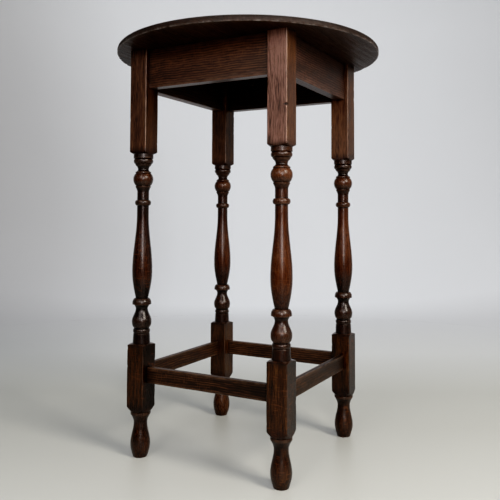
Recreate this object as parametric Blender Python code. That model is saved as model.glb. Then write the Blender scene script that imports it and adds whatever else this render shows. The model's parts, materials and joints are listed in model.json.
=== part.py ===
"""Round-topped oak side table: turned legs, tenoned frieze aprons and stretchers, and a boarded top.

Metres, +Z up. The floor is z = 0 and the table's upright axis is x = y = 0. Front is -Y.
"""

import math

import bmesh
import bpy
from mathutils import Matrix

# Clearance between pieces that touch or fit into each other
FIT_GAP = 0.0003

# Underframe plan
LEG_SPACING = 0.267
BLANK_SIDE = 0.0346

# Leg diameters, all turned from one square blank
SOLE_DIAMETER = 0.024
FOOT_DIAMETER = 0.0332
ANKLE_DIAMETER = 0.0224
COLLAR_DIAMETER = 0.034
PLINTH_DIAMETER = 0.0296
GROOVE_DIAMETER = 0.0262
PLINTH_BEAD_DIAMETER = 0.029
CUP_DIAMETER = 0.033
CUP_NECK_DIAMETER = 0.0207
BELL_UNDERSIDE_DIAMETER = 0.0266
BELL_DIAMETER = 0.0323
VASE_BASE_DIAMETER = 0.0218
VASE_DIAMETER = 0.0344
NECK_DIAMETER = 0.0204
RING_DIAMETER = 0.0278
FILLET_DIAMETER = 0.0264
BALL_DIAMETER = 0.0344
THROAT_DIAMETER = 0.0188
THROAT_TOP_DIAMETER = 0.0218
CAP_FILLET_DIAMETER = 0.0254
CAP_FLARE_DIAMETER = 0.0286
CAP_BEAD_DIAMETER = 0.0334
CAP_GROOVE_DIAMETER = 0.031

# Leg lengths
FOOT_RISE = 0.022
FOOT_TAPER = 0.0353
ANKLE_COVE = 0.016
FOOT_COLLAR_LENGTH = 0.0027
LOWER_POMMEL_LENGTH = 0.014
LOWER_BLOCK_LENGTH = 0.0962
LOWER_SHOULDER_LENGTH = 0.0044
PLINTH_LENGTH = 0.016
GROOVE_LENGTH = 0.0014
PLINTH_BEAD_LENGTH = 0.007
QUIRK_LENGTH = 0.0024
CUP_RISE = 0.0104
CUP_TAPER = 0.0214
BELL_COVE = 0.0064
BELL_UNDERSIDE_LENGTH = 0.001
BELL_RIM_LENGTH = 0.0022
BELL_RISE = 0.0085
VASE_RISE = 0.0465
VASE_TAPER = 0.096
LOWER_NECK_LENGTH = 0.0162
RING_LENGTH = 0.0098
UPPER_NECK_LENGTH = 0.0135
FLARE_LENGTH = 0.0089
FILLET_LENGTH = 0.002
BALL_RISE = 0.0118
BALL_FALL = 0.010
THROAT_FALL = 0.0046
THROAT_RISE = 0.005
CAP_STEP_LENGTH = 0.0015
CAP_FLARE_LENGTH = 0.0037
CAP_BEAD_LENGTH = 0.008
CAP_GROOVE_LENGTH = 0.0012
CAP_COLLAR_LENGTH = 0.0071
UPPER_SHOULDER_LENGTH = 0.0065
UPPER_BLOCK_LENGTH = 0.1736

# Frieze aprons
APRON_HEIGHT = 0.067
APRON_THICKNESS = 0.019
APRON_SETBACK = 0.0073
APRON_CHEEK = 0.006
APRON_TENON_DROP = 0.014
APRON_TENON_RISE = 0.009

# Stretchers, lifted a little above the middle of the lower blocks
STRETCHER_HEIGHT = 0.0265
STRETCHER_THICKNESS = 0.0095
STRETCHER_SETBACK = 0.0105
STRETCHER_LIFT = 0.00095
STRETCHER_CHEEK = 0.00175
STRETCHER_TENON_RISE = 0.00425

# Wood left between the two mortises that come together in a leg
TENON_WALL = 0.0024
EASED_EDGE = 0.001

# Top of edge-glued boards running front to back, overhanging the outer corners of the legs
TOP_OVERHANG = 0.0223
TOP_THICKNESS = 0.0115
TOP_ROUNDING_DEPTH = 0.008
TOP_ROUNDING_HEIGHT = 0.0065
TOP_LOWER_EASE = 0.001
CENTRE_BOARD_WIDTH = 0.160

# Pocket screws that hold the top down
SCREW_TILT = math.radians(18)
SCREW_EDGE_DISTANCE = 0.020
SCREW_SEAT_DEPTH = 0.018
SCREW_COVER = 0.0035
SCREW_DIAMETER = 0.004
SCREW_POINT_LENGTH = 0.005
SCREW_POINT_DIAMETER = 0.0008
HEAD_SHOULDER = 0.002
HEAD_CROWN_DIAMETER = 0.0045
HEAD_HEIGHT = 0.0028
HEAD_RIM_HEIGHT = 0.001
SLOT_WIDTH = 0.0012
SLOT_DEPTH = 0.0014
POCKET_CLEARANCE = 0.001

# Sides of the table in turn, each with the leg at its left end, and the angle of each about Z
SIDES = (
    ("front", "front_left"),
    ("right", "front_right"),
    ("back", "back_right"),
    ("left", "back_left"),
)
SIDE_TURNS = [math.radians(angle) for angle in (0, 90, 180, 270)]

# Facets
LEG_SIDES = 16
TOP_SIDES = 72
TOP_EDGE_STEPS = 4
EASE_STEPS = 2
ROUND_BEVEL = 0.5
SCREW_SIDES = 12
SHORT_CURVE_STEPS = 2
CURVE_STEP_LENGTH = 0.020
SMOOTH_ANGLE = math.radians(40)
# How far a cutter runs past the wood that it cuts
CUT_OVERRUN = 0.002

# Finishes: linear colour, roughness, metallic
FINISHES = {
    "dark_oak_leg": ((0.075, 0.030, 0.018), 0.38, 0.0),
    "dark_oak_apron": ((0.050, 0.020, 0.012), 0.42, 0.0),
    "dark_oak_stretcher": ((0.060, 0.025, 0.014), 0.45, 0.0),
    "dark_oak_top": ((0.045, 0.026, 0.018), 0.36, 0.0),
    "screw_steel": ((0.20, 0.18, 0.16), 0.45, 1.0),
}

# Corner-to-corner size of the blank with a little to spare, so the turning leaves a block square
BLOCK_DIAMETER = BLANK_SIDE * math.sqrt(2) + CUT_OVERRUN
HALF_BLANK = BLANK_SIDE / 2
LEG_AXIS = LEG_SPACING / 2
TOP_RADIUS = (LEG_AXIS + HALF_BLANK) * math.sqrt(2) + TOP_OVERHANG
SHOULDER_REACH = LEG_AXIS - HALF_BLANK - FIT_GAP
APRON_CENTRE = LEG_AXIS + HALF_BLANK - APRON_SETBACK - APRON_THICKNESS / 2
APRON_REACH = min(SHOULDER_REACH, APRON_CENTRE - APRON_THICKNESS / 2 - FIT_GAP)
STRETCHER_CENTRE = LEG_AXIS + HALF_BLANK - STRETCHER_SETBACK - STRETCHER_THICKNESS / 2

# Screw lengths run along its axis, from the seat in the pocket
HEAD_DIAMETER = SCREW_DIAMETER + 2 * HEAD_SHOULDER
SCREW_LENGTH = SCREW_SEAT_DEPTH + (TOP_THICKNESS - SCREW_COVER + FIT_GAP) / math.cos(SCREW_TILT)
SCREW_OFFSET = min(CENTRE_BOARD_WIDTH / 2, APRON_REACH) - SCREW_EDGE_DISTANCE
POCKET_DIAMETER = HEAD_DIAMETER + 2 * POCKET_CLEARANCE
POCKET_LENGTH = (APRON_THICKNESS + POCKET_DIAMETER) / 2 / math.sin(SCREW_TILT)


# Curves of the turning: share of the radius change and of the length at t from 0 to 1


def line(t):
    return t, t


def swell(t):
    return math.sin(t * math.pi / 2), t


def hollow(t):
    return 1 - math.cos(t * math.pi / 2), t


def ogee(t):
    return (1 - math.cos(t * math.pi)) / 2, t


def round_out(t):
    return math.sin(t * math.pi / 2), 1 - math.cos(t * math.pi / 2)


def round_in(t):
    return 1 - math.cos(t * math.pi / 2), math.sin(t * math.pi / 2)


# The leg from the floor up: element, length, diameter at its upper end, curve
LEG_TURNING = (
    ("foot", FOOT_RISE, FOOT_DIAMETER, swell),
    ("foot taper", FOOT_TAPER, ANKLE_DIAMETER, ogee),
    ("ankle", ANKLE_COVE, COLLAR_DIAMETER, hollow),
    ("foot collar", FOOT_COLLAR_LENGTH, COLLAR_DIAMETER, line),
    ("lower pommel", LOWER_POMMEL_LENGTH, BLOCK_DIAMETER, swell),
    ("lower block", LOWER_BLOCK_LENGTH, BLOCK_DIAMETER, line),
    ("lower shoulder", LOWER_SHOULDER_LENGTH, PLINTH_DIAMETER, hollow),
    ("plinth", PLINTH_LENGTH, GROOVE_DIAMETER, round_in),
    ("plinth groove", GROOVE_LENGTH, GROOVE_DIAMETER, line),
    ("plinth bead", PLINTH_BEAD_LENGTH / 2, PLINTH_BEAD_DIAMETER, round_out),
    ("plinth bead top", PLINTH_BEAD_LENGTH / 2, GROOVE_DIAMETER, round_in),
    ("quirk", QUIRK_LENGTH, GROOVE_DIAMETER, line),
    ("cup", CUP_RISE, CUP_DIAMETER, round_out),
    ("cup taper", CUP_TAPER, CUP_NECK_DIAMETER, ogee),
    ("bell cove", BELL_COVE, BELL_UNDERSIDE_DIAMETER, hollow),
    ("bell underside", BELL_UNDERSIDE_LENGTH, BELL_DIAMETER, line),
    ("bell rim", BELL_RIM_LENGTH, BELL_DIAMETER, line),
    ("bell", BELL_RISE, VASE_BASE_DIAMETER, hollow),
    ("vase", VASE_RISE, VASE_DIAMETER, swell),
    ("vase taper", VASE_TAPER, NECK_DIAMETER, ogee),
    ("lower neck", LOWER_NECK_LENGTH, NECK_DIAMETER, line),
    ("ring", RING_LENGTH / 2, RING_DIAMETER, round_out),
    ("ring top", RING_LENGTH / 2, NECK_DIAMETER, round_in),
    ("upper neck", UPPER_NECK_LENGTH, NECK_DIAMETER, line),
    ("flare", FLARE_LENGTH, FILLET_DIAMETER, hollow),
    ("ball fillet", FILLET_LENGTH, FILLET_DIAMETER, line),
    ("ball", BALL_RISE, BALL_DIAMETER, swell),
    ("ball top", BALL_FALL, FILLET_DIAMETER, hollow),
    ("throat fillet", FILLET_LENGTH, FILLET_DIAMETER, line),
    ("throat", THROAT_FALL, THROAT_DIAMETER, swell),
    ("throat top", THROAT_RISE, THROAT_TOP_DIAMETER, hollow),
    ("cap step", CAP_STEP_LENGTH, CAP_FILLET_DIAMETER, line),
    ("cap flare", CAP_FLARE_LENGTH, CAP_FLARE_DIAMETER, line),
    ("cap bead", CAP_BEAD_LENGTH / 2, CAP_BEAD_DIAMETER, round_out),
    ("cap bead top", CAP_BEAD_LENGTH / 2, CAP_GROOVE_DIAMETER, round_in),
    ("cap groove", CAP_GROOVE_LENGTH, COLLAR_DIAMETER, line),
    ("cap collar", CAP_COLLAR_LENGTH, COLLAR_DIAMETER, line),
    ("upper shoulder", UPPER_SHOULDER_LENGTH, BLOCK_DIAMETER, swell),
    ("upper block", UPPER_BLOCK_LENGTH, BLOCK_DIAMETER, line),
)


def turned_points():
    """Profile of the turning as (radius, height), and the height at which each element starts."""
    points = [(SOLE_DIAMETER / 2, 0.0)]
    starts = {}
    for element, length, diameter, curve in LEG_TURNING:
        radius, height = points[-1]
        starts[element] = height
        steps = 1 if curve is line else SHORT_CURVE_STEPS + int(length / CURVE_STEP_LENGTH)
        for step in range(1, steps + 1):
            across, along = curve(step / steps)
            points.append((radius + (diameter / 2 - radius) * across, height + length * along))
    return points, starts


LEG_POINTS, ELEMENT_STARTS = turned_points()
LEG_LENGTH = LEG_POINTS[-1][1]
STRETCHER_MIDDLE = ELEMENT_STARTS["lower block"] + LOWER_BLOCK_LENGTH / 2 + STRETCHER_LIFT
STRETCHER_BASE = STRETCHER_MIDDLE - STRETCHER_HEIGHT / 2
APRON_BASE = LEG_LENGTH - APRON_HEIGHT
TOP_BASE = LEG_LENGTH + FIT_GAP

# Tenons and the mortises that take them: centre line, thickness, base, height
APRON_TENON = (
    APRON_CENTRE,
    APRON_THICKNESS - 2 * APRON_CHEEK,
    APRON_BASE + APRON_TENON_RISE,
    APRON_HEIGHT - APRON_TENON_DROP - APRON_TENON_RISE,
)
STRETCHER_TENON = (
    STRETCHER_CENTRE,
    STRETCHER_THICKNESS - 2 * STRETCHER_CHEEK,
    STRETCHER_BASE + STRETCHER_TENON_RISE,
    STRETCHER_HEIGHT - 2 * STRETCHER_TENON_RISE,
)


# Mesh helpers


def finished(mesh_maker, name):
    """New mesh from a bmesh, with its faces pointing out."""
    bmesh.ops.recalc_face_normals(mesh_maker, faces=mesh_maker.faces)
    mesh = bpy.data.meshes.new(name)
    mesh_maker.to_mesh(mesh)
    mesh_maker.free()
    return mesh


def revolved(name, points, sides, limit=None):
    """Solid of revolution about Z. limit gives the largest radius that the blank leaves at an angle."""
    maker = bmesh.new()
    rings = []
    for radius, height in points:
        ring = []
        for side in range(sides):
            angle = 2 * math.pi * side / sides
            reach = min(radius, limit(angle)) if limit else radius
            ring.append(maker.verts.new((reach * math.cos(angle), reach * math.sin(angle), height)))
        rings.append(ring)
    for lower, upper in zip(rings, rings[1:]):
        for side in range(sides):
            after = (side + 1) % sides
            maker.faces.new((lower[side], lower[after], upper[after], upper[side]))
    maker.faces.new(reversed(rings[0]))
    maker.faces.new(rings[-1])
    return finished(maker, name)


def boxes(name, ranges):
    """One mesh of separate boxes, each given by its low and high corner."""
    maker = bmesh.new()
    for low, high in ranges:
        size = [b - a for a, b in zip(low, high)]
        centre = [(a + b) / 2 for a, b in zip(low, high)]
        bmesh.ops.create_cube(maker, size=1, matrix=Matrix.Translation(centre) @ Matrix.Diagonal((*size, 1)))
    return finished(maker, name)


def eased_bar(name, low, high, eases):
    """Box with its edges along X eased where eases(edge centre) is true."""
    maker = bmesh.new()
    maker.from_mesh(boxes(name, [(low, high)]))
    edges = []
    for edge in maker.edges:
        first, second = (vertex.co for vertex in edge.verts)
        if abs(first.x - second.x) > EASED_EDGE and eases((first + second) / 2):
            edges.append(edge)
    bmesh.ops.bevel(
        maker, geom=edges, offset=EASED_EDGE, segments=EASE_STEPS, profile=ROUND_BEVEL, affect="EDGES"
    )
    return finished(maker, name)


def combined(base, tool, operation):
    """Mesh of base after a Boolean with tool."""
    pair = []
    for mesh in (base, tool):
        helper = bpy.data.objects.new(mesh.name, mesh)
        bpy.context.scene.collection.objects.link(helper)
        pair.append(helper)
    modifier = pair[0].modifiers.new("joinery", "BOOLEAN")
    modifier.operation = operation
    modifier.object = pair[1]
    graph = bpy.context.evaluated_depsgraph_get()
    result = bpy.data.meshes.new_from_object(pair[0].evaluated_get(graph))
    result.name = base.name
    for helper in pair:
        bpy.data.objects.remove(helper)
    return result


def material(name):
    colour, roughness, metallic = FINISHES[name]
    made = bpy.data.materials.new(name)
    made.use_nodes = True
    shader = made.node_tree.nodes["Principled BSDF"]
    shader.inputs["Base Color"].default_value = (*colour, 1)
    shader.inputs["Roughness"].default_value = roughness
    shader.inputs["Metallic"].default_value = metallic
    return made


def shaded(mesh, surface):
    """The mesh with its material, smooth where it is round."""
    mesh.materials.clear()
    mesh.materials.append(surface)
    mesh.shade_smooth()
    mesh.set_sharp_from_angle(angle=SMOOTH_ANGLE)
    return mesh


def placed(name, mesh, parent, location=(0, 0, 0), rotation=(0, 0, 0)):
    piece = bpy.data.objects.new(name, mesh)
    bpy.context.scene.collection.objects.link(piece)
    piece.parent = parent
    piece.location = location
    piece.rotation_euler = rotation
    return piece


# Pieces, drawn for the front side of the table


def square_limit(angle):
    return HALF_BLANK / max(abs(math.cos(angle)), abs(math.sin(angle)))


def mortise_floor(centre_line, thickness):
    """Distance from a leg's axis to the floor of a mortise, clear of the mortise that crosses it."""
    return LEG_AXIS - centre_line + thickness / 2 + FIT_GAP + TENON_WALL


def mortises(centre_line, thickness, base, height):
    """Corners of the mortises in the front left leg's two inner faces, from the leg's own axis."""
    across = LEG_AXIS - centre_line
    half = thickness / 2 + FIT_GAP
    inner = mortise_floor(centre_line, thickness)
    outer = HALF_BLANK + CUT_OVERRUN
    low, high = base - FIT_GAP, base + height + FIT_GAP
    return [
        ((inner, across - half, low), (outer, across + half, high)),
        ((across - half, inner, low), (across + half, outer, high)),
    ]


def leg_mesh():
    blank = revolved("leg", LEG_POINTS, LEG_SIDES, square_limit)
    cuts = mortises(*APRON_TENON) + mortises(*STRETCHER_TENON)
    return combined(blank, boxes("mortises", cuts), "DIFFERENCE")


def tenon_bar(centre_line, thickness, base, height):
    """Bar through the whole rail that stands out at both ends as the tenons."""
    reach = LEG_AXIS - mortise_floor(centre_line, thickness) - FIT_GAP
    low = (-reach, -centre_line - thickness / 2, base)
    high = (reach, -centre_line + thickness / 2, base + height)
    return boxes("tenons", [(low, high)])


def apron_mesh(channels):
    low = (-APRON_REACH, -APRON_CENTRE - APRON_THICKNESS / 2, APRON_BASE)
    high = (APRON_REACH, -APRON_CENTRE + APRON_THICKNESS / 2, LEG_LENGTH)
    middle = (APRON_BASE + LEG_LENGTH) / 2
    body = eased_bar("apron", low, high, lambda centre: centre.z < middle)
    jointed = combined(body, tenon_bar(*APRON_TENON), "UNION")
    return combined(jointed, channels, "DIFFERENCE")


def stretcher_mesh():
    low = (-SHOULDER_REACH, -STRETCHER_CENTRE - STRETCHER_THICKNESS / 2, STRETCHER_BASE)
    high = (SHOULDER_REACH, -STRETCHER_CENTRE + STRETCHER_THICKNESS / 2, STRETCHER_BASE + STRETCHER_HEIGHT)
    body = eased_bar("stretcher", low, high, lambda centre: True)
    return combined(body, tenon_bar(*STRETCHER_TENON), "UNION")


def screw_seat(offset):
    """Placing of a front screw: at the seat, with Z along the screw up into the top."""
    inward = SCREW_SEAT_DEPTH * math.sin(SCREW_TILT)
    down = SCREW_SEAT_DEPTH * math.cos(SCREW_TILT)
    seat = Matrix.Translation((offset, -APRON_CENTRE + inward, LEG_LENGTH - down))
    return seat @ Matrix.Rotation(SCREW_TILT, 4, "X")


def screw_mesh():
    points = [
        (HEAD_CROWN_DIAMETER / 2, -HEAD_HEIGHT),
        (HEAD_DIAMETER / 2, -HEAD_RIM_HEIGHT),
        (HEAD_DIAMETER / 2, 0),
        (SCREW_DIAMETER / 2, 0),
        (SCREW_DIAMETER / 2, SCREW_LENGTH - SCREW_POINT_LENGTH),
        (SCREW_POINT_DIAMETER / 2, SCREW_LENGTH - FIT_GAP),
    ]
    blank = revolved("screw", points, SCREW_SIDES)
    low = (-HEAD_DIAMETER, -SLOT_WIDTH / 2, -HEAD_HEIGHT - CUT_OVERRUN)
    high = (HEAD_DIAMETER, SLOT_WIDTH / 2, -HEAD_HEIGHT + SLOT_DEPTH)
    return combined(blank, boxes("slot", [(low, high)]), "DIFFERENCE")


def screw_channels(placings):
    """One cutter of stepped bores: a pocket below the seat, and the screw's hole above it."""
    hole = SCREW_DIAMETER / 2 + FIT_GAP
    points = [
        (POCKET_DIAMETER / 2, -POCKET_LENGTH),
        (POCKET_DIAMETER / 2, 0),
        (hole, 0),
        (hole, SCREW_LENGTH),
    ]
    bore = revolved("bore", points, SCREW_SIDES)
    maker = bmesh.new()
    for placing in placings:
        bore.transform(placing)
        maker.from_mesh(bore)
        bore.transform(placing.inverted())
    return finished(maker, "channels")


def board_mesh(name, low, high, channels):
    """Board of the round top between two lines across it, bored for the screws from below."""
    rounding = min(TOP_ROUNDING_HEIGHT, TOP_THICKNESS - 2 * TOP_LOWER_EASE)
    points = [(TOP_RADIUS - TOP_LOWER_EASE, 0), (TOP_RADIUS, TOP_LOWER_EASE)]
    for step in range(TOP_EDGE_STEPS + 1):
        across, along = round_in(step / TOP_EDGE_STEPS)
        height = TOP_THICKNESS - rounding * (1 - along)
        points.append((TOP_RADIUS - TOP_ROUNDING_DEPTH * across, height))
    disc = revolved(name, points, TOP_SIDES)
    disc.transform(Matrix.Translation((0, 0, TOP_BASE)))
    reach = TOP_RADIUS + CUT_OVERRUN
    corners = [
        (low, -reach, TOP_BASE - CUT_OVERRUN),
        (high, reach, TOP_BASE + TOP_THICKNESS + CUT_OVERRUN),
    ]
    board = combined(disc, boxes("plank", [corners]), "INTERSECT")
    return combined(board, channels, "DIFFERENCE")


def build_underframe(root, channels):
    leg = shaded(leg_mesh(), material("dark_oak_leg"))
    apron = shaded(apron_mesh(channels), material("dark_oak_apron"))
    stretcher = shaded(stretcher_mesh(), material("dark_oak_stretcher"))
    screw = shaded(screw_mesh(), material("screw_steel"))
    for turn, (side, corner) in zip(SIDE_TURNS, SIDES):
        frame = placed(f"side_{side}", None, root, rotation=(0, 0, turn))
        placed(f"leg_{corner}", leg, frame, location=(-LEG_AXIS, -LEG_AXIS, 0))
        placed(f"apron_{side}", apron, frame)
        placed(f"stretcher_{side}", stretcher, frame)
        for hand, offset in (("a", -SCREW_OFFSET), ("b", SCREW_OFFSET)):
            seat = screw_seat(offset) @ Matrix.Translation((0, 0, -FIT_GAP))
            placed(f"top_screw_{side}_{hand}", screw, frame, seat.translation, seat.to_euler())


def build_top(root, placings):
    surface = material("dark_oak_top")
    channels = screw_channels(placings)
    reach = TOP_RADIUS + CUT_OVERRUN
    seam = CENTRE_BOARD_WIDTH / 2
    boards = (
        ("left", -reach, -seam - FIT_GAP / 2),
        ("centre", -seam + FIT_GAP / 2, seam - FIT_GAP / 2),
        ("right", seam + FIT_GAP / 2, reach),
    )
    for side, low, high in boards:
        name = f"top_board_{side}"
        placed(name, shaded(board_mesh(name, low, high, channels), surface), root)


def main():
    for old in list(bpy.data.objects):
        bpy.data.objects.remove(old)
    root = placed("side_table", None, None)
    front = [screw_seat(-SCREW_OFFSET), screw_seat(SCREW_OFFSET)]
    turns = [Matrix.Rotation(turn, 4, "Z") for turn in SIDE_TURNS]
    build_underframe(root, screw_channels(front))
    build_top(root, [turn @ seat for turn in turns for seat in front])


main()
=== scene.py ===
"""Side table dressed for its portrait: fine turned legs, worn rails, a boarded top and a plain studio.

Metres, +Z up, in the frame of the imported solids. Front is -Y.
"""

import json
import math
import random
from functools import reduce
from types import SimpleNamespace

import bmesh
import bpy
import numpy as np
from mathutils import Matrix, Vector
from mathutils.noise import noise as perlin

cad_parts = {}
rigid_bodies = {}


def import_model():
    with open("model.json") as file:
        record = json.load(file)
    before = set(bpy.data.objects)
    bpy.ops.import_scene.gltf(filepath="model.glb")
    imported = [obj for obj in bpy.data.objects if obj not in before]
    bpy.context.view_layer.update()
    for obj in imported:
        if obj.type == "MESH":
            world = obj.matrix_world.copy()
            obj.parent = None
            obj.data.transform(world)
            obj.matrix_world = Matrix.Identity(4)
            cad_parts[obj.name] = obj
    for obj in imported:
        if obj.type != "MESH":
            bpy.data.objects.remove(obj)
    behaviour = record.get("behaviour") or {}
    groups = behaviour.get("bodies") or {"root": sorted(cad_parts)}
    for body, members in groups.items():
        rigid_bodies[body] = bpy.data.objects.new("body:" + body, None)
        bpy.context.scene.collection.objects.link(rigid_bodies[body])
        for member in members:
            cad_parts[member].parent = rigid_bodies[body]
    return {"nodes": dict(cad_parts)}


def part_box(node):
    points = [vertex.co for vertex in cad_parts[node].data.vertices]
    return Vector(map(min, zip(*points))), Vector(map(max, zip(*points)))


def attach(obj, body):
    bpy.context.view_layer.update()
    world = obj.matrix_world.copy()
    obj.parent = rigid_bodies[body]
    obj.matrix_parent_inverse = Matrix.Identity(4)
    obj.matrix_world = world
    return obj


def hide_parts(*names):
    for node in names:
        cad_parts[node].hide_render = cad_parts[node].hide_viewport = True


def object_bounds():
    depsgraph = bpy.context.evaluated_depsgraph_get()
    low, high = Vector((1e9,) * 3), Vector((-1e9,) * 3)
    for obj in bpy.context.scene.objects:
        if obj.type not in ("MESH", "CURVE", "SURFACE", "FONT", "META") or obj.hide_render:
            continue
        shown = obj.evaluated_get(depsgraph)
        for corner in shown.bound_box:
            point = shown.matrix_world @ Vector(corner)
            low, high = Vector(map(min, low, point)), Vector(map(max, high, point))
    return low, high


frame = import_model()
cad_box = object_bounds()

MM = 0.001

# Sides of the table in turn, each with the leg at its left end
SIDES = (
    ("front", "front_left"),
    ("right", "front_right"),
    ("back", "back_right"),
    ("left", "back_left"),
)
QUARTER_TURN = math.pi / 2

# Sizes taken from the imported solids
LEG_LOW, LEG_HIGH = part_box("leg_front_left")
HALF_BLANK = (LEG_HIGH.x - LEG_LOW.x) / 2
LEG_AXIS = -(LEG_HIGH.x + LEG_LOW.x) / 2
LEG_LENGTH = LEG_HIGH.z
APRON_LOW, APRON_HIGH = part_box("apron_front")
STRETCHER_LOW, STRETCHER_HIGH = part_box("stretcher_front")
BOARD_LOW, BOARD_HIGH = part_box("top_board_centre")
TOP_RADIUS = cad_box[1].x

# Joinery, as in the solids
FIT_GAP = 0.3 * MM
SHOULDER = LEG_AXIS - HALF_BLANK - FIT_GAP
CUT_OVERRUN = 2 * MM
SCREW_TILT = math.radians(18)
SCREW_OFFSET = 60 * MM
SCREW_SEAT_DEPTH = 18 * MM
SCREW_HOLE_RADIUS = 2.3 * MM
SCREW_LENGTH = 26.8 * MM
POCKET_RADIUS = 5 * MM
POCKET_LENGTH = 47 * MM
BORE_SIDES = 32

# Tenons of the rails: depth of the cheeks, rise from the lower edge, drop from the upper edge
APRON_TENON = (6 * MM, 9 * MM, 14 * MM)
STRETCHER_TENON = (1.75 * MM, 4.25 * MM, 4.25 * MM)


# Curves of the turning: share of the radius change and of the length at t from 0 to 1

# How far the ball is carried round towards its poles
GLOBE = 0.80


def line(t):
    return t, t


def swell(t):
    return math.sin(t * math.pi / 2), t


def hollow(t):
    return 1 - math.cos(t * math.pi / 2), t


def ogee(t):
    return (1 - math.cos(t * math.pi)) / 2, t


def globe_rise(t):
    return 1 - globe_drop(1 - t), t


def globe_fall(t):
    return globe_drop(t), t


def globe_drop(away):
    """Fall of a round form at a share of its half height from its middle."""
    return (1 - math.sqrt(1 - (GLOBE * away) ** 2)) / (1 - math.sqrt(1 - GLOBE**2))


def round_out(t):
    return math.sin(t * math.pi / 2), 1 - math.cos(t * math.pi / 2)


def round_in(t):
    return 1 - math.cos(t * math.pi / 2), math.sin(t * math.pi / 2)


# The turning stays outside the square blank along a block
BLANK_MARGIN = 1 * MM
BLOCK = 2 * (HALF_BLANK * math.sqrt(2) + BLANK_MARGIN) / MM
SOLE_DIAMETER = 21.8

# The leg from the floor up, in millimetres: element, length, diameter at its upper end, curve
TURNING = (
    ("sole edge", 1.4, 24.6, round_out),
    ("foot", 20.6, 33.6, swell),
    ("foot taper", 35.3, 23.0, ogee),
    ("ankle", 14.7, 34.4, hollow),
    ("foot collar", 3.4, 34.4, line),
    ("collar quirk", 0.6, 33.0, line),
    ("lower pommel", 14.0, BLOCK, swell),
    ("lower block", 96.2, BLOCK, line),
    ("lower shoulder", 4.4, 29.6, hollow),
    ("plinth", 16.0, 28.2, line),
    ("plinth groove", 1.4, 26.2, line),
    ("plinth bead", 3.5, 29.0, round_out),
    ("plinth bead top", 3.5, 26.2, round_in),
    ("quirk", 2.4, 26.2, line),
    ("cup", 10.4, 33.5, round_out),
    ("cup taper", 21.4, 20.7, ogee),
    ("bell cove", 6.4, 26.6, hollow),
    ("bell underside", 1.0, 32.3, line),
    ("bell rim", 2.2, 32.3, line),
    ("bell", 8.5, 21.2, round_in),
    ("vase", 46.5, 34.4, swell),
    ("vase taper", 96.0, 20.4, ogee),
    ("lower neck", 16.2, 20.4, line),
    ("ring", 4.9, 27.8, round_out),
    ("ring top", 4.9, 20.4, round_in),
    ("upper neck", 13.5, 20.4, line),
    ("flare", 8.9, 26.4, hollow),
    ("ball fillet", 1.5, 26.4, line),
    ("ball quirk", 0.5, 25.0, line),
    ("ball", 11.8, 34.4, globe_rise),
    ("ball top", 10.0, 25.8, globe_fall),
    ("throat quirk", 0.5, 27.2, line),
    ("throat fillet", 1.5, 27.2, line),
    ("throat", 4.6, 18.8, swell),
    ("throat top", 5.0, 21.8, hollow),
    ("cap step", 1.5, 25.4, line),
    ("cap flare", 3.1, 29.0, line),
    ("cap quirk", 0.6, 27.8, line),
    ("cap bead", 4.0, 33.6, round_out),
    ("cap bead top", 4.0, 30.2, round_in),
    ("cap groove", 1.2, 34.0, line),
    ("cap collar", 7.1, 34.0, line),
    ("upper shoulder", 6.5, BLOCK, swell),
    ("upper block", 173.6, BLOCK, line),
)

# Steps along straight and curved elements
LEG_LINE_STEP = 2.4 * MM
LEG_CURVE_STEP = 2.0 * MM
LEG_LEAST_STEPS = 8

# Straight elements longer than this have a step close to each end, both in millimetres
LEG_LONG_LINE = 3
LEG_END_STEP = 0.6


def turned_profile():
    """Heights and radii of the turning at close steps."""
    heights, radii = [0.0], [SOLE_DIAMETER / 2 * MM]
    for _, length, diameter, curve in TURNING:
        base, start = heights[-1], radii[-1]
        if curve is line:
            steps = max(1, round(length * MM / LEG_LINE_STEP))
        else:
            steps = max(LEG_LEAST_STEPS, round(length * MM / LEG_CURVE_STEP))
        shares = [step / steps for step in range(1, steps + 1)]
        if curve is line and length > LEG_LONG_LINE:
            shares = sorted(shares + [LEG_END_STEP / length, 1 - LEG_END_STEP / length])
        for share in shares:
            across, along = curve(share)
            heights.append(base + length * MM * along)
            radii.append(start + (diameter / 2 * MM - start) * across)
    return np.array(heights), np.array(radii)


PROFILE_HEIGHTS, PROFILE_RADII = turned_profile()

# Relief of the turning, over which wear and grime settle
RELIEF_STEP = 0.1 * MM
RELIEF_HEIGHTS = np.arange(0, LEG_LENGTH, RELIEF_STEP)
BROAD_REACH = 6 * MM
FINE_REACH = 1.6 * MM


def profile_relief(reach):
    """How far each height of the leg stands proud of what lies within reach of it, in metres."""
    radii = np.minimum(np.interp(RELIEF_HEIGHTS, PROFILE_HEIGHTS, PROFILE_RADII), HALF_BLANK)
    count = round(reach / RELIEF_STEP)
    weights = np.hanning(2 * count + 1)
    padded = np.pad(radii, count, mode="edge")
    return radii - np.convolve(padded, weights / weights.sum(), mode="valid")


BROAD_RELIEF = profile_relief(BROAD_REACH)
FINE_RELIEF = profile_relief(FINE_REACH)


# Mesh helpers

SHARP_ANGLE = math.radians(32)

# How far apart the noise of one piece lies from that of the next
SEED_STEPS = (7.3, -3.1, 5.7)


def grid_mesh(name, rings):
    """Closed tube through rings of points, with a flat cap at each end."""
    count, around = rings.shape[:2]
    faces = []
    for ring in range(count - 1):
        low, high = ring * around, (ring + 1) * around
        for side in range(around):
            after = (side + 1) % around
            faces.append((low + side, low + after, high + after, high + side))
    faces.append(tuple(reversed(range(around))))
    faces.append(tuple(range((count - 1) * around, count * around)))
    mesh = bpy.data.meshes.new(name)
    mesh.from_pydata(rings.reshape(-1, 3).tolist(), [], faces)
    return mesh


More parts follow.
